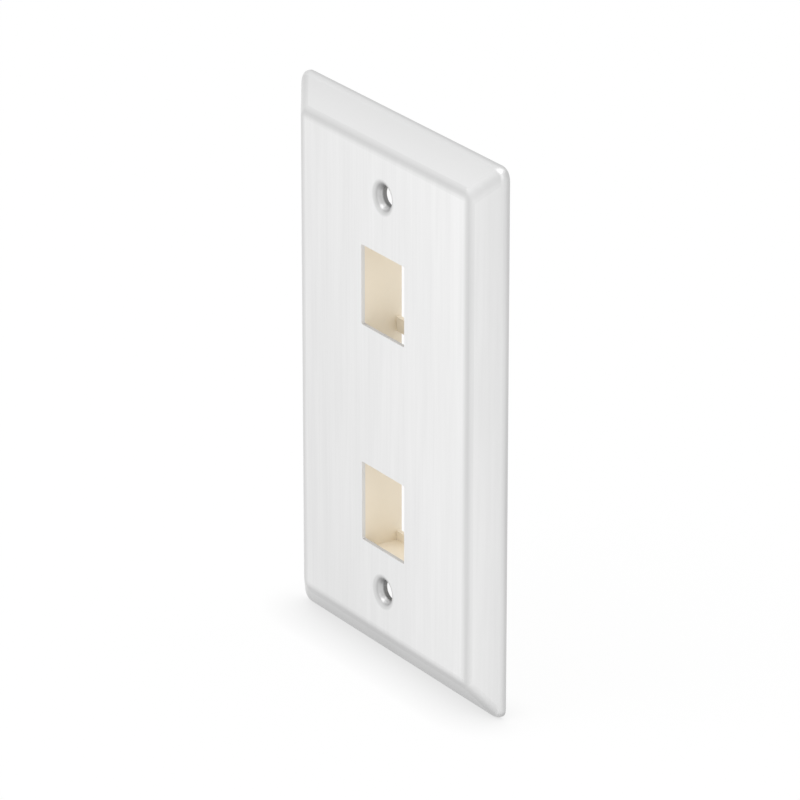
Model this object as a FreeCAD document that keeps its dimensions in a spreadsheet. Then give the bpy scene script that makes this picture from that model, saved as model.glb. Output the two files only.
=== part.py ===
"""Single-gang stamped steel wall plate for two keystone jacks.

The plate is one sheet of brushed stainless steel: a flat face, four sloping flanks mitred at the
corners, and a short rim that turns back to the wall. Two countersunk dimples take the mounting
screws. Behind the plate a moulded carrier holds the jacks. Its ears sit on four weld studs and are
held there by push-on retainers.

Frame: the origin is the centre of the plate on the wall plane, +Z up, +X to the right as seen from
the room. The front faces -Y, so a "lift" below is a distance in front of the wall plane.
All lengths are in millimetres.
"""
import FreeCAD, Part
import Sketcher
import os

SIZES = {
    # face plate
    "plate_width": 69.85,
    "plate_height": 114.3,
    "plate_depth": 5.4,
    "sheet_thickness": 0.8,
    "flank_width": 6.1,
    "rim_height": 1.2,
    "bend_inner_radius": 3.8,
    "rim_inner_radius": 0.5,
    # windows of the two ports
    "window_width": 14.9,
    "window_height": 16.7,
    "window_corner_radius": 0.3,
    # dimples for the mounting screws
    "screw_end_distance": 15.5,
    "screw_hole_diameter": 4.0,
    "dimple_diameter": 5.5,
    "dimple_depth": 1.55,
    "dimple_edge_radius": 1.6,
    # jack carrier: an open frame between the dimples, with a catch across its back below and
    # above each jack
    "carrier_top_gap": 3.8,
    "carrier_floor_gap": 2.45,
    "carrier_reach": 4.1,
    "carrier_wall": 1.6,
    "carrier_end_wall": 1.4,
    "carrier_corner_radius": 1.0,
    "port_side_clearance": 0.05,
    "catch_drop": 0.3,
    "catch_opening": 19.3,
    "catch_height": 3.0,
    "catch_depth": 1.3,
    "foot_catch_rise": 1.95,
    "latch_catch_reach": 1.6,
    "lead_in": 0.4,
    "flange_thickness": 1.5,
    "flange_width": 2.0,
    "ear_margin": 0.6,
    "ear_corner_radius": 3.0,
    # weld studs, one beside each jack, and their push-on retainers
    "stud_diameter": 2.5,
    "stud_length": 4.2,
    "stud_point": 0.3,
    "stud_base_diameter": 4.0,
    "stud_base_thickness": 0.5,
    "stud_clearance": 0.2,
    "retainer_diameter": 6.8,
    "retainer_thickness": 0.3,
    "retainer_ring_bore": 4.2,
    "retainer_rise": 0.5,
    "retainer_slot_width": 0.5,
    "retainer_play": 0.02,
    "retainer_wall_gap": 0.5,
}
RETAINER_SLOTS = 3
FULL_TURN = 360
NEAR = 1e-3

doc = FreeCAD.newDocument("KeystoneFaceplate")
sheet = doc.addObject("Spreadsheet::Sheet", "Sizes")
for row, (alias, size) in enumerate(SIZES.items(), start=1):
    sheet.set("A%d" % row, alias)
    sheet.set("B%d" % row, str(size))
    sheet.setAlias("B%d" % row, alias)
doc.recompute()

# Derived lengths and places, as expressions of the sizes.
FACE_BACK = "(Sizes.plate_depth - Sizes.sheet_thickness)"
FLANK_RISE = "(Sizes.plate_depth - Sizes.rim_height)"
FLANK_LENGTH = "sqrt(%s ^ 2 + Sizes.flank_width ^ 2)" % FLANK_RISE
# Where two flats of the sheet meet at a bend, its inner corner lies further along each of them
# than its outer one, by these shares of the thickness: at the rim and at the face.
RIM_SHARE = "((%s - %s) / Sizes.flank_width)" % (FLANK_LENGTH, FLANK_RISE)
FACE_SHARE = "((%s - Sizes.flank_width) / %s)" % (FLANK_LENGTH, FLANK_RISE)
SCREW_LEVEL = "(Sizes.plate_height / 2 - Sizes.screw_end_distance)"
DIMPLE_INSIDE = "(%s - Sizes.dimple_diameter / 2)" % SCREW_LEVEL
# The carrier reaches almost from one dimple to the other, and the ports follow from its ends.
OUTER_TOP = "(%s - Sizes.carrier_top_gap)" % DIMPLE_INSIDE
OUTER_FLOOR = "(Sizes.carrier_floor_gap - %s)" % DIMPLE_INSIDE
INNER_TOP = "(%s - Sizes.carrier_end_wall)" % OUTER_TOP
INNER_FLOOR = "(%s + Sizes.carrier_end_wall)" % OUTER_FLOOR
HIGHEST_LATCH = "(%s - Sizes.latch_catch_reach)" % INNER_TOP
LOWEST_FOOT = "(%s + Sizes.foot_catch_rise)" % INNER_FLOOR
FOOT_BELOW_PORT = "(Sizes.window_height / 2 + Sizes.catch_drop)"
LATCH_ABOVE_PORT = "(Sizes.catch_opening - %s)" % FOOT_BELOW_PORT
PORTS = {
    "upper": "(%s - %s)" % (HIGHEST_LATCH, LATCH_ABOVE_PORT),
    "lower": "(%s + %s)" % (LOWEST_FOOT, FOOT_BELOW_PORT),
}
INNER_SIDE = "(Sizes.window_width / 2 + Sizes.port_side_clearance)"
OUTER_SIDE = "(%s + Sizes.carrier_wall)" % INNER_SIDE
EAR_BACK = "(%s - Sizes.flange_thickness)" % FACE_BACK
STUD_SIDE = "(%s + Sizes.retainer_wall_gap + Sizes.retainer_diameter / 2)" % OUTER_SIDE
EAR_REACH = "(Sizes.retainer_diameter / 2 + Sizes.ear_margin)"
SIDES = {"left": "-1", "right": "1"}


def number(expression):
    """The value of an expression of sizes."""
    result = sheet.evalExpression(expression)
    return float(getattr(result, "Value", result))


def catch_levels(port):
    """The top of the catch below a jack and the underside of the catch above it."""
    centre = PORTS[port]
    return "(%s - %s)" % (centre, FOOT_BELOW_PORT), "(%s + %s)" % (centre, LATCH_ABOVE_PORT)


def new_body(name):
    body = doc.addObject("PartDesign::Body", name)
    body.Label = name
    return body


def new_sketch(body, name, plane, lift="0", shift="0"):
    """Attach a sketch to an origin plane of its body, moved along its normal and its vertical."""
    sketch = body.newObject("Sketcher::SketchObject", name)
    origin_plane = next(f for f in body.Origin.OriginFeatures if f.Role == plane)
    sketch.AttachmentSupport = [(origin_plane, "")]
    sketch.MapMode = "FlatFace"
    sketch.setExpression("AttachmentOffset.Base.z", lift)
    sketch.setExpression("AttachmentOffset.Base.y", shift)
    return sketch


def bind(sketch, kind, expression, *places):
    """Add a dimension to a sketch and bind it to an expression, or pin a zero to the axis."""
    amount = number(expression)
    if kind in ("DistanceX", "DistanceY") and abs(amount) < NEAR ** 2:
        axis = -2 if kind == "DistanceX" else -1
        sketch.addConstraint(Sketcher.Constraint("PointOnObject", places[-2], places[-1], axis))
        return
    index = sketch.addConstraint(Sketcher.Constraint(kind, *places, amount))
    sketch.setExpression("Constraints[%d]" % index, expression)


def draw_outline(sketch, corners):
    """Draw a closed outline through corners given as pairs of expressions."""
    points = [FreeCAD.Vector(number(x), number(y), 0) for x, y in corners]
    first = sketch.GeometryCount
    count = len(points)
    for i in range(count):
        sketch.addGeometry(Part.LineSegment(points[i], points[(i + 1) % count]), False)
    for i in range(count):
        following = first + (i + 1) % count
        sketch.addConstraint(Sketcher.Constraint("Coincident", first + i, 2, following, 1))
    for i, (x, y) in enumerate(corners):
        bind(sketch, "DistanceX", x, -1, 1, first + i, 1)
        bind(sketch, "DistanceY", y, -1, 1, first + i, 1)


def draw_rectangle(sketch, left, bottom, right, top):
    draw_outline(sketch, [(left, bottom), (right, bottom), (right, top), (left, top)])


def draw_circle(sketch, x, y, diameter):
    centre = FreeCAD.Vector(number(x), number(y), 0)
    normal = FreeCAD.Vector(0, 0, 1)
    index = sketch.addGeometry(Part.Circle(centre, normal, number(diameter) / 2), False)
    bind(sketch, "DistanceX", x, -1, 1, index, 3)
    bind(sketch, "DistanceY", y, -1, 1, index, 3)
    bind(sketch, "Diameter", diameter, index)


def extrude(body, kind, name, sketch, length=None):
    """Pad towards the room, or pocket towards the wall; a pocket with no length goes through."""
    feature = body.newObject("PartDesign::" + kind, name)
    feature.Profile = sketch
    if length is None:
        feature.Type = "ThroughAll"
    else:
        feature.setExpression("Length", length)
    doc.recompute()
    return feature


def turn(body, kind, name, sketch):
    """Revolve or groove a sketch about its own horizontal axis."""
    feature = body.newObject("PartDesign::" + kind, name)
    feature.Profile = sketch
    feature.ReferenceAxis = (sketch, ["H_Axis"])
    feature.Angle = FULL_TURN
    doc.recompute()
    return feature


def dress(body, kind, name, base, test, size):
    """Fillet or chamfer those edges of a feature that pass a test."""
    edges = ["Edge%d" % i for i, edge in enumerate(base.Shape.Edges, start=1) if test(edge)]
    feature = body.newObject("PartDesign::" + kind, name)
    feature.Base = (base, edges)
    feature.setExpression("Radius" if kind == "Fillet" else "Size", size)
    doc.recompute()
    return feature


def lies_at(shape, y):
    """True for an edge or face that lies flat in the plane at this y."""
    box = shape.BoundBox
    return box.YLength < NEAR and abs(box.YMax - y) < NEAR


def is_corner_at(edge, side):
    """True for an edge that runs straight back, at this distance left or right of the middle."""
    box = edge.BoundBox
    return box.XLength + box.ZLength < NEAR and abs(abs(box.XMax) - side) < NEAR


def stamped_form(name, inset):
    """One surface of the stamped sheet as a solid: the outer one, or the one a thickness inside.

    The flanks are lofted from the rim up to the face and rounded, and the rim is drawn down from
    their foot to the wall.
    """
    body = new_body(name)
    half_width = "(Sizes.plate_width / 2 - %s)" % inset
    half_height = "(Sizes.plate_height / 2 - %s)" % inset
    rim = "(Sizes.rim_height - %s * %s)" % (inset, RIM_SHARE)
    lean = "(Sizes.flank_width - %s + %s * %s)" % (inset, inset, FACE_SHARE)
    face = "(Sizes.plate_depth - %s)" % inset

    foot = new_sketch(body, name + "_foot", "XZ_Plane", rim)
    draw_rectangle(foot, "-" + half_width, "-" + half_height, half_width, half_height)
    crown = new_sketch(body, name + "_crown", "XZ_Plane", face)
    crown_width = "(%s - %s)" % (half_width, lean)
    crown_height = "(%s - %s)" % (half_height, lean)
    draw_rectangle(crown, "-" + crown_width, "-" + crown_height, crown_width, crown_height)

    flanks = body.newObject("PartDesign::AdditiveLoft", name + "_flanks")
    flanks.Profile = foot
    flanks.Sections = [crown]
    flanks.Ruled = True
    doc.recompute()

    face_y = -number(face)
    rim_y = -number(rim)
    bends = dress(body, "Fillet", name + "_bends", flanks,
                  lambda edge: edge.BoundBox.YMin < face_y + NEAR,
                  "Sizes.bend_inner_radius + Sizes.sheet_thickness - %s" % inset)
    drawn = body.newObject("PartDesign::Pad", name + "_rim")
    drawn.Profile = (bends, ["Face%d" % i for i, f in enumerate(bends.Shape.Faces, start=1)
                             if lies_at(f, rim_y)])
    drawn.setExpression("Length", rim)
    doc.recompute()
    dress(body, "Fillet", name + "_roll", drawn, lambda edge: lies_at(edge, rim_y),
          "Sizes.rim_inner_radius + Sizes.sheet_thickness - %s" % inset)
    return body


def add_dimples(body):
    """Press a countersunk dimple into the face for each mounting screw.

    The sheet keeps its thickness down the cone, and is squeezed flat behind, round the hole.
    """
    mouth = "(Sizes.dimple_diameter / 2)"
    bore = "(Sizes.screw_hole_diameter / 2)"
    front = "(-Sizes.plate_depth)"
    slope = "(Sizes.dimple_depth / (%s - %s))" % (mouth, bore)
    steepness = "sqrt(1 + %s ^ 2)" % slope
    spread = "(Sizes.sheet_thickness * (%s - 1) / %s)" % (steepness, slope)
    back_mouth = "(%s + %s)" % (mouth, spread)
    back_bore = "(%s + %s)" % (bore, spread)
    cone_floor = "(%s + Sizes.dimple_depth)" % front
    lip = "(%s + Sizes.sheet_thickness)" % cone_floor
    mid_sheet = "(%s + Sizes.sheet_thickness / 2)" % front
    back_face = "(-%s)" % FACE_BACK

    boss = new_sketch(body, "dimple_back", "YZ_Plane", shift=SCREW_LEVEL)
    draw_outline(boss, [(mid_sheet, "0"), (mid_sheet, back_mouth), (back_face, back_mouth),
                        (lip, back_bore), (lip, "0")])
    raised = turn(body, "Revolution", "dimple_boss", boss)

    cone = new_sketch(body, "dimple_front", "YZ_Plane", shift=SCREW_LEVEL)
    draw_outline(cone, [(front, "0"), (front, mouth), (cone_floor, bore), (lip, bore),
                        (lip, "0")])
    sunk = turn(body, "Groove", "dimple_cone", cone)

    pair = body.newObject("PartDesign::Mirrored", "dimple_pair")
    pair.Originals = [raised, sunk]
    pair.MirrorPlane = (next(f for f in body.Origin.OriginFeatures if f.Role == "XY_Plane"), [""])
    body.Tip = pair
    doc.recompute()

    def is_mouth(edge):
        return lies_at(edge, number(front)) and edge.isClosed()
    return dress(body, "Fillet", "dimple_mouths", pair, is_mouth, "Sizes.dimple_edge_radius")


def add_windows(body):
    """Punch the window of each port through the face."""
    sketch = new_sketch(body, "windows", "XZ_Plane", "Sizes.plate_depth")
    half_width = "(Sizes.window_width / 2)"
    for centre in PORTS.values():
        draw_rectangle(sketch, "-" + half_width, "(%s - Sizes.window_height / 2)" % centre,
                       half_width, "(%s + Sizes.window_height / 2)" % centre)
    punched = extrude(body, "Pocket", "punched_windows", sketch)
    side = number(half_width)
    return dress(body, "Fillet", "window_corners", punched, lambda edge: is_corner_at(edge, side),
                 "Sizes.window_corner_radius")


def make_face_plate():
    """The stamped sheet: the outer form less the inner one, then dimples and windows."""
    plate = stamped_form("face_plate", "0")
    inner = stamped_form("inner_form", "Sizes.sheet_thickness")
    hollow = plate.newObject("PartDesign::Boolean", "stamped_sheet")
    hollow.Type = "Cut"
    hollow.Group = [inner]
    doc.recompute()
    add_dimples(plate)
    add_windows(plate)
    return plate


def make_jack_carrier():
    """The moulding behind the windows: frame, catches, flange and ears in one piece."""
    body = new_body("jack_carrier")
    back = "(-Sizes.carrier_reach)"
    frame = new_sketch(body, "frame_outline", "XZ_Plane", back)
    draw_rectangle(frame, "-" + OUTER_SIDE, OUTER_FLOOR, OUTER_SIDE, OUTER_TOP)
    draw_rectangle(frame, "-" + INNER_SIDE, INNER_FLOOR, INNER_SIDE, INNER_TOP)
    walls = extrude(body, "Pad", "frame_walls", frame, "Sizes.carrier_reach + " + FACE_BACK)
    side = number(OUTER_SIDE)
    dress(body, "Fillet", "frame_corners", walls, lambda edge: is_corner_at(edge, side),
          "Sizes.carrier_corner_radius")

    catches = new_sketch(body, "catch_outlines", "XZ_Plane", back)
    catch_side = "(%s + Sizes.carrier_wall / 2)" % INNER_SIDE
    lowest, middle_latch = catch_levels("lower")
    middle_foot, highest = catch_levels("upper")
    # The outermost catches grow out of the end walls; the two in the middle are free bars.
    for bottom, top in [("(%s - Sizes.carrier_end_wall / 2)" % INNER_FLOOR, lowest),
                        (middle_latch, "(%s + Sizes.catch_height)" % middle_latch),
                        ("(%s - Sizes.catch_height)" % middle_foot, middle_foot),
                        (highest, "(%s + Sizes.carrier_end_wall / 2)" % INNER_TOP)]:
        draw_rectangle(catches, "-" + catch_side, bottom, catch_side, top)
    extrude(body, "Pad", "catches", catches, "Sizes.catch_depth")

    flange = new_sketch(body, "flange_outline", "XZ_Plane", EAR_BACK)
    flange_side = "(%s + Sizes.flange_width)" % OUTER_SIDE
    flange_inner = "(%s + Sizes.carrier_wall / 2)" % INNER_SIDE
    flange_top = "(%s - Sizes.carrier_corner_radius)" % OUTER_TOP
    flange_floor = "(%s + Sizes.carrier_corner_radius)" % OUTER_FLOOR
    draw_rectangle(flange, "-" + flange_side, flange_floor, "-" + flange_inner, flange_top)
    draw_rectangle(flange, flange_inner, flange_floor, flange_side, flange_top)
    extrude(body, "Pad", "flange", flange, "Sizes.flange_thickness")

    ears = new_sketch(body, "ear_outlines", "XZ_Plane", EAR_BACK)
    ear_side = "(%s + %s)" % (STUD_SIDE, EAR_REACH)
    for level in PORTS.values():
        bottom = "(%s - %s)" % (level, EAR_REACH)
        top = "(%s + %s)" % (level, EAR_REACH)
        draw_rectangle(ears, "-" + ear_side, bottom, "-" + flange_inner, top)
        draw_rectangle(ears, flange_inner, bottom, ear_side, top)
    padded = extrude(body, "Pad", "ears", ears, "Sizes.flange_thickness")
    ear_end = number(ear_side)
    dress(body, "Fillet", "ear_corners", padded, lambda edge: is_corner_at(edge, ear_end),
          "Sizes.ear_corner_radius")

    holes = new_sketch(body, "stud_holes", "XZ_Plane", FACE_BACK)
    seats = new_sketch(body, "stud_seats", "XZ_Plane", FACE_BACK)
    hole = "(Sizes.stud_diameter + 2 * Sizes.stud_clearance)"
    seat = "(Sizes.stud_base_diameter + 2 * Sizes.stud_clearance)"
    for level in PORTS.values():
        for sign in SIDES.values():
            across = "(%s * %s)" % (sign, STUD_SIDE)
            draw_circle(holes, across, level, hole)
            draw_circle(seats, across, level, seat)
    extrude(body, "Pocket", "stud_hole_cuts", holes)
    seated = extrude(body, "Pocket", "stud_seat_cuts", seats,
                     "Sizes.stud_base_thickness + Sizes.stud_clearance / 2")

    reach = number("Sizes.carrier_reach")
    levels = [number(level) for port in PORTS for level in catch_levels(port)]

    def is_lead_in(edge):
        box = edge.BoundBox
        level = any(abs(box.ZMax - z) < NEAR for z in levels)
        return lies_at(edge, reach) and box.ZLength < NEAR and level
    dress(body, "Chamfer", "catch_lead_ins", seated, is_lead_in, "Sizes.lead_in")
    return body


def place(body, sign, level, lift):
    """Put a turned piece on its stud axis."""
    body.setExpression("Placement.Base.x", "%s * %s" % (sign, STUD_SIDE))
    body.setExpression("Placement.Base.y", "-" + lift)
    body.setExpression("Placement.Base.z", level)


def make_weld_stud(name):
    """A headless pin with the wider base that is welded to the back of the face."""
    body = new_body(name)
    profile = new_sketch(body, name + "_profile", "YZ_Plane")
    pin = "(Sizes.stud_diameter / 2)"
    base = "(Sizes.stud_base_diameter / 2)"
    draw_outline(profile, [("0", "0"), ("0", base), ("Sizes.stud_base_thickness", base),
                           ("Sizes.stud_base_thickness", pin),
                           ("(Sizes.stud_length - Sizes.stud_point)", pin),
                           ("Sizes.stud_length", "(%s - Sizes.stud_point)" % pin),
                           ("Sizes.stud_length", "0")])
    turn(body, "Revolution", name + "_turned", profile)
    return body


def make_push_retainer(name):
    """A flat spring washer whose slotted inner cone grips the stud."""
    body = new_body(name)
    profile = new_sketch(body, name + "_profile", "YZ_Plane")
    outer = "(Sizes.retainer_diameter / 2)"
    ring = "(Sizes.retainer_ring_bore / 2)"
    bore = "(Sizes.stud_diameter / 2 + Sizes.retainer_play)"
    sheet_gauge = "Sizes.retainer_thickness"
    rise = "Sizes.retainer_rise"
    draw_outline(profile, [("0", outer), ("0", ring), (rise, bore),
                           ("(%s + %s)" % (rise, sheet_gauge), bore),
                           (sheet_gauge, ring), (sheet_gauge, outer)])
    turn(body, "Revolution", name + "_dished", profile)

    slot = new_sketch(body, name + "_slot", "XZ_Plane", lift="0")
    half_slot = "(Sizes.retainer_slot_width / 2)"
    draw_rectangle(slot, "(%s / 2)" % bore, "-" + half_slot, ring, half_slot)
    cut = extrude(body, "Pocket", name + "_slot_cut", slot)
    slots = body.newObject("PartDesign::PolarPattern", name + "_slots")
    slots.Originals = [cut]
    slots.Axis = (slot, ["N_Axis"])
    slots.Angle = FULL_TURN
    slots.Occurrences = RETAINER_SLOTS
    body.Tip = slots
    doc.recompute()
    return body


def make_fixings():
    """One stud and one retainer for each ear."""
    fixings = []
    for row_name, level in PORTS.items():
        for side_name, sign in SIDES.items():
            stud = make_weld_stud("weld_stud_%s_%s" % (row_name, side_name))
            place(stud, sign, level, FACE_BACK)
            retainer = make_push_retainer("push_retainer_%s_%s" % (row_name, side_name))
            place(retainer, sign, level, EAR_BACK)
            fixings += [stud, retainer]
    return fixings


def check_document():
    """Stop if any object of the document failed to build."""
    failed = [o.Name for o in doc.Objects if "Invalid" in o.State or "Error" in o.State]
    if failed:
        raise RuntimeError("failed to build: " + ", ".join(failed))


def write_steps(bodies):
    """Check each sub-part's solid, then write it under its own name."""
    for body in bodies:
        shape = body.Shape
        if shape.isNull() or not shape.isValid() or len(shape.Solids) != 1:
            raise RuntimeError(body.Label + " is not one valid solid")
    os.makedirs("parts", exist_ok=True)
    for body in bodies:
        body.Shape.exportStep("parts/%s.step" % body.Label)
        print("%-28s %9.2f mm3" % (body.Label, body.Shape.Volume))


sub_parts = [make_face_plate(), make_jack_carrier()] + make_fixings()
doc.recompute()
check_document()
write_steps(sub_parts)
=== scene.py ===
"""Looks of a single-gang keystone wall plate: one stamped sheet of brushed stainless steel, the
ivory moulding behind its two windows, and the welded studs and push-on retainers that hold it.

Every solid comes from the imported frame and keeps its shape. This script gives the finishes, the
floor, the soft light and the camera. All lengths are in metres.
"""
import math

import bpy
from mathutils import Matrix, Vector


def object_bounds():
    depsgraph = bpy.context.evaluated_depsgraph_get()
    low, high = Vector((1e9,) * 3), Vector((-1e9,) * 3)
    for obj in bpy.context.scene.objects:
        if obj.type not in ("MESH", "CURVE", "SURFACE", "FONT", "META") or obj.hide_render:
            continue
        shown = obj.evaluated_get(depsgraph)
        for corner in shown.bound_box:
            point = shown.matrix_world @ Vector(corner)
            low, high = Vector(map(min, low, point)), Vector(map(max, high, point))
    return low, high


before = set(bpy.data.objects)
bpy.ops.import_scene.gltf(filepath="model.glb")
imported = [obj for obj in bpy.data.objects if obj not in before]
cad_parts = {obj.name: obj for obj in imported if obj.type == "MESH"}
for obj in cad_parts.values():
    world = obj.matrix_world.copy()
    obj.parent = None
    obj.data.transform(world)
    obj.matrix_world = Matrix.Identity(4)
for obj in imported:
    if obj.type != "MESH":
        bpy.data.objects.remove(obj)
cad_low, cad_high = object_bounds()


# ---------------------------------------------------------------- node helpers

def add_node(tree, kind, inputs=None, **settings):
    """Add a node, set its properties, and set or link its inputs by name or number."""
    node = tree.nodes.new(kind)
    for name, value in settings.items():
        setattr(node, name, value)
    for name, value in (inputs or {}).items():
        socket = node.inputs[name]
        if isinstance(value, bpy.types.NodeSocket):
            tree.links.new(value, socket)
        else:
            socket.default_value = value
    return node


def use_group(tree, group, inputs):
    """Put a node group into a tree."""
    return add_node(tree, "ShaderNodeGroup", inputs, node_tree=group)


def calculate(tree, operation, first, second=None):
    """One step of arithmetic on numbers."""
    inputs = {0: first} if second is None else {0: first, 1: second}
    return add_node(tree, "ShaderNodeMath", inputs, operation=operation).outputs[0]


def tint(tree, colour, factor):
    """A colour times a number or another colour."""
    return add_node(tree, "ShaderNodeVectorMath", {0: colour, 1: factor},
                    operation="MULTIPLY").outputs[0]


def remap(tree, value, low, high, to_low=0.0, to_high=1.0):
    """Carry a value from low..high to to_low..to_high, and hold it at both ends."""
    return add_node(tree, "ShaderNodeMapRange",
                    {"Value": value, "From Min": low, "From Max": high,
                     "To Min": to_low, "To Max": to_high}).outputs[0]


def mix_numbers(tree, share, first, second):
    """The first number where share is 0, and the second where it is 1."""
    return add_node(tree, "ShaderNodeMix", {"Factor": share, "A": first, "B": second},
                    data_type="FLOAT").outputs[0]


def mix_colours(tree, share, first, second):
    """The first colour where share is 0, and the second where it is 1."""
    return add_node(tree, "ShaderNodeMix", {"Factor": share, "A": first, "B": second},
                    data_type="RGBA").outputs["Result"]


def ramp_tone(tree, factor, stops):
    """A grey that follows (place, brightness) stops."""
    node = add_node(tree, "ShaderNodeValToRGB", {"Fac": factor})
    ramp = node.color_ramp
    for place, _ in stops[2:]:
        ramp.elements.new(place)
    for element, (place, bright) in zip(ramp.elements, stops):
        element.position = place
        element.color = (bright, bright, bright, 1)
    return node.outputs["Color"]


def new_group(name, inputs, outputs):
    """Start a shader node group. Inputs and outputs are (name, kind, default) and (name, kind)."""
    group = bpy.data.node_groups.new(name, "ShaderNodeTree")
    for label, kind, default in inputs:
        socket = group.interface.new_socket(label, in_out="INPUT", socket_type="NodeSocket" + kind)
        if default is not None:
            socket.default_value = default
    for label, kind in outputs:
        group.interface.new_socket(label, in_out="OUTPUT", socket_type="NodeSocket" + kind)
    return group, group.nodes.new("NodeGroupInput"), group.nodes.new("NodeGroupOutput")


def new_material(name):
    """A material with a Principled surface; returns the material, its tree and that shader."""
    material = bpy.data.materials.new(name)
    material.use_nodes = True
    tree = material.node_tree
    return material, tree, tree.nodes["Principled BSDF"]


# ---------------------------------------------------------------- the belt's marks

# The widths and lengths of the scratches and bands that an abrasive belt leaves on the sheet, and
# how far each keeps its pattern through the sheet's depth.
LINE_WIDTH, LINE_LENGTH, LINE_DEPTH = 0.0002, 0.03, 0.002
BAND_WIDTH, FINE_BAND_WIDTH, BAND_DEPTH = 0.003, 0.0006, 0.02


def make_brush_lines():
    """Long straight scratches of an abrasive belt, with the broader bands that the belt leaves."""
    group, given, result = new_group(
        "brush_lines",
        [("Place", "Vector", None), ("Line Width", "Float", LINE_WIDTH),
         ("Line Length", "Float", LINE_LENGTH), ("Band Width", "Float", BAND_WIDTH)],
        [("Lines", "Float"), ("Bands", "Float")])
    parts = add_node(group, "ShaderNodeSeparateXYZ", {0: given.outputs["Place"]})

    def long_noise(width, depth, detail, roughness):
        sizes = {"X": width, "Y": depth, "Z": given.outputs["Line Length"]}
        stretched = add_node(group, "ShaderNodeCombineXYZ",
                             {axis: calculate(group, "DIVIDE", parts.outputs[axis], size)
                              for axis, size in sizes.items()})
        return add_node(group, "ShaderNodeTexNoise",
                        {"Vector": stretched.outputs[0], "Scale": 1.0, "Detail": detail,
                         "Roughness": roughness}).outputs["Fac"]

    group.links.new(long_noise(given.outputs["Line Width"], LINE_DEPTH, 3.0, 0.6),
                    result.inputs["Lines"])
    group.links.new(long_noise(given.outputs["Band Width"], BAND_DEPTH, 2.0, 0.55),
                    result.inputs["Bands"])
    return group


brush_lines = make_brush_lines()


# ---------------------------------------------------------------- the sheet

# The belt's bands make the sheet this much brighter or darker. Their noise seldom leaves its
# range. They fade out between these shares of the surface's normal that point up or down.
BAND_CONTRAST = 0.015
NOISE_RANGE = (0.3, 0.7)
BANDS_FADE = (0.1, 0.5)
# How bright the sheet is by the lean of its surface from the face, as a share of a right angle;
# the darker bends and rim are painted shade.
PLATE_PAINTED_SHADE_BY_LEAN = [(0.0, 0.88), (0.06, 0.82), (0.14, 0.72), (0.21, 0.70), (0.30, 0.78),
                 (0.38, 0.865), (0.56, 0.87), (0.80, 0.80), (1.0, 0.67)]
# How bright it is by the way it faces, from straight down at 0 to straight up at 1: painted shade
# facing down and on the top flank, and a painted highlight facing straight up.
PAINTED_LIGHT_BY_RISE = [(0.0, 0.80), (0.26, 0.818), (0.40, 1.0), (0.62, 1.0), (0.78, 0.96),
                 (0.88, 0.93), (1.0, 1.06)]
# Painted shade on the flanks where they meet the rim: how bright they are there, against where
# they leave the face.
FLANK_FOOT_PAINTED_SHADE = 0.93
FACE_LEVEL, RIM_LEVEL = -0.0048, -0.0010
# How a painted sheen on the face grows, from its left edge to its right one and from foot to head,
# and the leans between which it fades out.
PAINTED_SHEEN_LEFT, PAINTED_SHEEN_RIGHT = 0.96, 1.04
PAINTED_SHEEN_FOOT, PAINTED_SHEEN_HEAD = 0.955, 1.015
PAINTED_SHEEN_FADE = (0.05, 0.25)
FLANK_WIDTH = 0.0061
# The punched edges of the windows and holes are frosted: rough and less like a mirror than the
# sheet; where they face up they are darker, which is painted shade. All lie this near to the
# sheet's middle, across and along.
# The frosting sets in as the normal turns away from the front and the back.
PUNCHED_ACROSS, PUNCHED_ALONG = 0.010, 0.050
PUNCHED_TURN = (0.156, 0.047)
FROSTED_ROUGHNESS, FROSTED_METAL = 0.80, 0.35
FROSTED_SIDEWAYS, FROSTED_FACING_UP_PAINTED_SHADE = 0.80, 0.58
FROSTED_SHADE_RISE = (0.5, 0.9)
# The screw dimples: their height from the middle, and the painted shade inside them, in rings with
# a faint painted highlight near the mouth, by the distance from the screw's axis as a share of the
# reach.
SCREW_LEVEL = 0.04165
DIMPLE_REACH = 0.004
DIMPLE_PAINTED_SHADE_BY_REACH = [(0.49, 0.24), (0.53, 0.85), (0.60, 0.76), (0.68, 0.62), (0.80, 1.02),
                   (0.95, 1.0)]
# The scratches' own gloss and relief.
BRUSHED_ROUGHNESS = (0.36, 0.46)
SCRATCH_STRENGTH, SCRATCH_DEPTH = 0.05, 0.00005


def belt_tone(tree, coarse, fine, facing):
    """The belt's bands, which show most on the face and the upright flanks."""
    tones = [remap(tree, brush.outputs["Bands"], *NOISE_RANGE,
                   1.0 - BAND_CONTRAST, 1.0 + BAND_CONTRAST) for brush in (coarse, fine)]
    faded = remap(tree, calculate(tree, "ABSOLUTE", facing.outputs["Z"]), *BANDS_FADE)
    return mix_numbers(tree, faded, calculate(tree, "MULTIPLY", *tones), 1.0)


def painted_sheen_tone(tree, place, lean):
    """A painted sheen that grows evenly across the face and up it."""
    across = remap(tree, place.outputs["X"], cad_low.x, cad_high.x - FLANK_WIDTH,
                   PAINTED_SHEEN_LEFT, PAINTED_SHEEN_RIGHT)
    along = remap(tree, place.outputs["Z"], cad_low.z, cad_high.z, PAINTED_SHEEN_FOOT, PAINTED_SHEEN_HEAD)
    faded = remap(tree, lean, *PAINTED_SHEEN_FADE)
    return mix_numbers(tree, faded, calculate(tree, "MULTIPLY", across, along), 1.0)


def dimple_painted_shade(tree, place, from_middle):
    """Painted shade in rings inside the two screw dimples, with a faint painted highlight near the
    mouth.
    """
    from_screw = calculate(tree, "SUBTRACT", from_middle, SCREW_LEVEL)
    around_screw = add_node(tree, "ShaderNodeCombineXYZ",
                            {0: place.outputs["X"], 1: from_screw}).outputs[0]
    away = add_node(tree, "ShaderNodeVectorMath", {0: around_screw},
                    operation="LENGTH").outputs["Value"]
    return ramp_tone(tree, remap(tree, away, 0.0, DIMPLE_REACH), DIMPLE_PAINTED_SHADE_BY_REACH)


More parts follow.
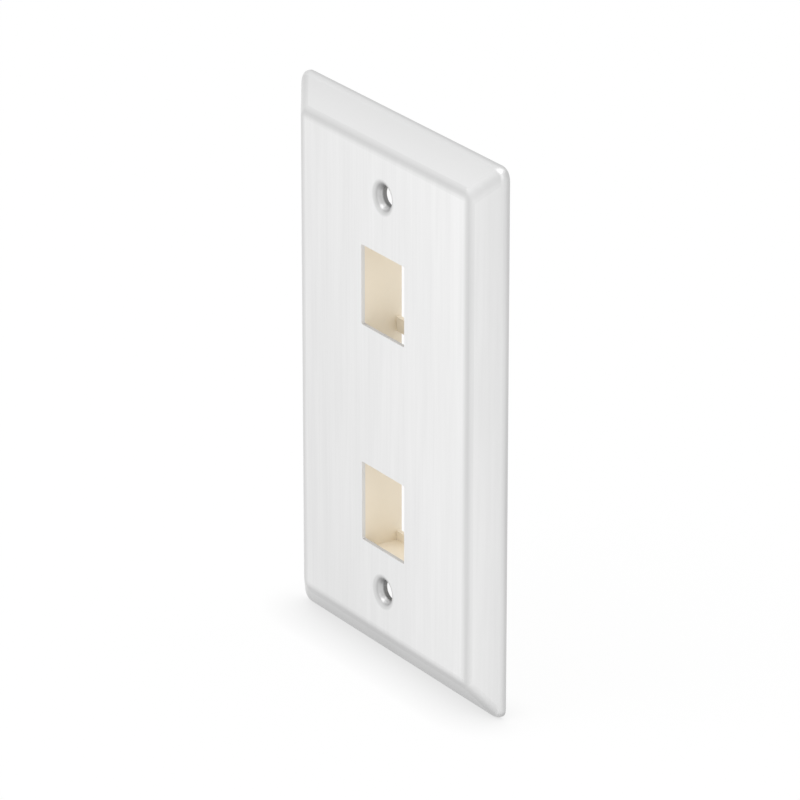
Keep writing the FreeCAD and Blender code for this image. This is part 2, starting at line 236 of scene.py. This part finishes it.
def punched_mask(tree, place, facing, from_middle):
    """1 on the walls of the windows and the screw holes, and 0 elsewhere."""
    aside = calculate(tree, "ABSOLUTE", place.outputs["X"])
    in_width = calculate(tree, "LESS_THAN", aside, PUNCHED_ACROSS)
    in_height = calculate(tree, "LESS_THAN", from_middle, PUNCHED_ALONG)
    square = remap(tree, calculate(tree, "ABSOLUTE", facing.outputs["Y"]), *PUNCHED_TURN)
    return calculate(tree, "MULTIPLY", calculate(tree, "MULTIPLY", in_width, in_height), square)


def make_brushed_plate():
    """Stainless sheet brushed along its height, with frosting where punched; the shade on its
    bends, flanks, punched edges and dimples and the sheen across its face are painted.
    """
    material, tree, surface = new_material("brushed_plate")
    coordinates = add_node(tree, "ShaderNodeTexCoord")
    coarse = use_group(tree, brush_lines, {"Place": coordinates.outputs["Object"]})
    fine = use_group(tree, brush_lines, {"Place": coordinates.outputs["Object"],
                                         "Band Width": FINE_BAND_WIDTH})
    place = add_node(tree, "ShaderNodeSeparateXYZ", {0: coordinates.outputs["Object"]})
    facing = add_node(tree, "ShaderNodeSeparateXYZ", {0: coordinates.outputs["Normal"]})
    from_middle = calculate(tree, "ABSOLUTE", place.outputs["Z"])
    to_front = calculate(tree, "MULTIPLY", facing.outputs["Y"], -1.0)
    lean = remap(tree, calculate(tree, "ARCCOSINE", to_front), 0.0, math.pi / 2)
    rise = remap(tree, facing.outputs["Z"], -1.0, 1.0)

    # Painted shade on the bends, the rim, the top flank and the flank facing down, and a painted
    # highlight where the sheet faces straight up.
    painted_light_by_shape = tint(tree, ramp_tone(tree, lean, PLATE_PAINTED_SHADE_BY_LEAN),
                    ramp_tone(tree, rise, PAINTED_LIGHT_BY_RISE))
    # Painted shade down the flanks towards the rim.
    flank_painted_shade = remap(tree, place.outputs["Y"], FACE_LEVEL, RIM_LEVEL, 1.0, FLANK_FOOT_PAINTED_SHADE)
    # The painted sheen of the face times the painted shade of the flanks.
    painted_sheen_and_shade = calculate(tree, "MULTIPLY", painted_sheen_tone(tree, place, lean), flank_painted_shade)
    bands = belt_tone(tree, coarse, fine, facing)
    # The belt's bands on top of the painted shade, highlight and sheen.
    brushed = tint(tree, painted_light_by_shape, calculate(tree, "MULTIPLY", bands, painted_sheen_and_shade))

    punched = punched_mask(tree, place, facing, from_middle)
    # Painted shade on the punched edges that face up.
    frosted_and_painted_shade = remap(tree, facing.outputs["Z"], *FROSTED_SHADE_RISE, FROSTED_SIDEWAYS, FROSTED_FACING_UP_PAINTED_SHADE)
    # Painted shade and a faint painted highlight in the dimples.
    colour = tint(tree, mix_colours(tree, punched, brushed, frosted_and_painted_shade),
                  dimple_painted_shade(tree, place, from_middle))
    tree.links.new(colour, surface.inputs["Base Color"])
    scratched = remap(tree, coarse.outputs["Lines"], 0.0, 1.0, *BRUSHED_ROUGHNESS)
    tree.links.new(mix_numbers(tree, punched, scratched, FROSTED_ROUGHNESS),
                   surface.inputs["Roughness"])
    tree.links.new(remap(tree, punched, 0.0, 1.0, 1.0, FROSTED_METAL), surface.inputs["Metallic"])
    bump = add_node(tree, "ShaderNodeBump",
                    {"Height": coarse.outputs["Lines"], "Strength": SCRATCH_STRENGTH,
                     "Distance": SCRATCH_DEPTH})
    tree.links.new(bump.outputs[0], surface.inputs["Normal"])
    return material


# ---------------------------------------------------------------- the other finishes

IVORY_DEEP, IVORY_PALE = (0.890, 0.808, 0.668, 1), (0.910, 0.828, 0.686, 1)
IVORY_ROUGHNESS = 0.5
# The scales of the noise in the moulding's colour and in the plain metals' gloss, and how far
# that gloss strays.
GRAIN_SCALE = 400.0
MOTTLE_SCALE = 900.0
MOTTLE_CONTRAST = 0.08


def speckle(tree, scale, detail):
    """Fine noise that is fixed to the piece."""
    place = add_node(tree, "ShaderNodeTexCoord").outputs["Object"]
    return add_node(tree, "ShaderNodeTexNoise",
                    {"Vector": place, "Scale": scale, "Detail": detail}).outputs["Fac"]


def make_ivory_moulding():
    """Ivory plastic with a faint moulded grain."""
    material, tree, surface = new_material("ivory_moulding")
    grain = speckle(tree, GRAIN_SCALE, 2.0)
    tree.links.new(mix_colours(tree, grain, IVORY_DEEP, IVORY_PALE), surface.inputs["Base Color"])
    surface.inputs["Roughness"].default_value = IVORY_ROUGHNESS
    return material


def make_plain_metal(name, colour, roughness):
    """Metal of one colour with a fine mottle in its gloss."""
    material, tree, surface = new_material(name)
    mottled = remap(tree, speckle(tree, MOTTLE_SCALE, 3.0), 0.0, 1.0,
                    roughness - MOTTLE_CONTRAST, roughness + MOTTLE_CONTRAST)
    tree.links.new(mottled, surface.inputs["Roughness"])
    surface.inputs["Base Color"].default_value = (*colour, 1)
    surface.inputs["Metallic"].default_value = 1.0
    return material


FINISHES = {
    "face_plate": make_brushed_plate(),
    "jack_carrier": make_ivory_moulding(),
    "weld_stud": make_plain_metal("stud_metal", (0.60, 0.58, 0.54), 0.38),
    "push_retainer": make_plain_metal("spring_metal", (0.20, 0.20, 0.21), 0.40),
}
for node_name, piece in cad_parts.items():
    finish = next(f for start, f in FINISHES.items() if node_name.startswith(start))
    for material_slot in piece.material_slots:
        material_slot.material = finish


# ---------------------------------------------------------------- floor

FLOOR_SIZE = 12.0
FLOOR_PAINT = (0.95, 0.95, 0.95, 1)
# The share of the floor's look that takes the lamps' light and so their shadows, how far the
# close shade round the plate's foot reaches, and how bright the floor is where it is darkest.
SHADOW_SHARE = 0.06
FOOT_SHADE_REACH = 0.010
FOOT_SHADE_DARKEST = 0.74
FOOT_SHADE_SAMPLES = 16


def make_floor():
    """A white floor that the plate stands on; to the eye it keeps only a soft shadow."""
    bpy.ops.mesh.primitive_plane_add(size=FLOOR_SIZE, location=(0, 0, cad_low.z))
    floor = bpy.context.object
    floor.name = "studio_floor"
    material = bpy.data.materials.new("floor_white")
    material.use_nodes = True
    tree = material.node_tree
    tree.nodes.clear()
    path = add_node(tree, "ShaderNodeLightPath")
    clear = calculate(tree, "MAXIMUM", path.outputs["Is Camera Ray"],
                      path.outputs["Is Transmission Ray"])
    seen = calculate(tree, "MAXIMUM", clear, path.outputs["Is Glossy Ray"])
    openness = add_node(tree, "ShaderNodeAmbientOcclusion", {"Distance": FOOT_SHADE_REACH},
                        samples=FOOT_SHADE_SAMPLES)
    foot_shade = remap(tree, openness.outputs["AO"], 0.0, 1.0, FOOT_SHADE_DARKEST, 1.0)
    white = add_node(tree, "ShaderNodeEmission", {"Color": foot_shade})
    paint = add_node(tree, "ShaderNodeBsdfDiffuse", {"Color": FLOOR_PAINT})
    look = add_node(tree, "ShaderNodeMixShader",
                    {0: calculate(tree, "MULTIPLY", seen, 1.0 - SHADOW_SHARE),
                     1: paint.outputs[0], 2: white.outputs[0]})
    add_node(tree, "ShaderNodeOutputMaterial", {"Surface": look.outputs[0]})
    floor.data.materials.append(material)


make_floor()


# ---------------------------------------------------------------- light

AIR_STRENGTH = 0.907
# Square lamps that point at the plate's middle: name, place, side and watts.
SOFT_LIGHTS = [
    ("light_above_front", (-0.2, -0.7, 1.1), 0.6, 2.57),
    ("light_above", (0.0, 0.1, 1.3), 0.9, 1.09),
    ("light_high_left", (-0.55, -0.75, 0.95), 0.5, 0.35),
    ("light_front_right", (0.55, -0.95, 0.45), 0.5, 0.45),
    ("light_front_left", (-0.5, -1.0, 0.45), 0.6, 0.27),
    ("light_back_right", (0.8, 0.9, 0.6), 0.7, 0.26),
]


def make_world():
    """White air, the same from all sides."""
    world = bpy.data.worlds.new("studio_air")
    bpy.context.scene.world = world
    world.use_nodes = True
    background = world.node_tree.nodes["Background"]
    background.inputs["Color"].default_value = (1, 1, 1, 1)
    background.inputs["Strength"].default_value = AIR_STRENGTH


def add_soft_light(name, place, side, watts):
    """A square lamp at the given place, which points at the plate's middle."""
    light = bpy.data.lights.new(name, "AREA")
    light.shape = "SQUARE"
    light.size = side
    light.energy = watts
    lamp = bpy.data.objects.new(name, light)
    bpy.context.scene.collection.objects.link(lamp)
    lamp.location = place
    lamp.rotation_mode = "QUATERNION"
    lamp.rotation_quaternion = (-Vector(place)).to_track_quat("-Z", "Y")


make_world()
for soft_light in SOFT_LIGHTS:
    add_soft_light(*soft_light)


# ---------------------------------------------------------------- camera

CAMERA_AZIMUTH = math.radians(56.07)
CAMERA_ELEVATION = math.radians(22.69)
CAMERA_DISTANCE = 1.121
LOOK_AT = Vector((0.0020, -0.0027, -0.00038))
# The lens and the width behind it are the two lengths here that Blender takes in millimetres.
CAMERA_LENS, SENSOR_WIDTH = 258.6, 36.0


def make_camera():
    """A long lens that looks down on the plate from its right."""
    lens = bpy.data.cameras.new("camera")
    lens.lens = CAMERA_LENS
    lens.sensor_width = SENSOR_WIDTH
    camera = bpy.data.objects.new("camera", lens)
    bpy.context.scene.collection.objects.link(camera)
    flat = math.cos(CAMERA_ELEVATION)
    back = Vector((math.sin(CAMERA_AZIMUTH) * flat, -math.cos(CAMERA_AZIMUTH) * flat,
                   math.sin(CAMERA_ELEVATION)))
    camera.location = LOOK_AT + back * CAMERA_DISTANCE
    camera.rotation_mode = "QUATERNION"
    camera.rotation_quaternion = (-back).to_track_quat("-Z", "Y")
    bpy.context.scene.camera = camera


make_camera()
bpy.context.scene.view_settings.view_transform = "Standard"
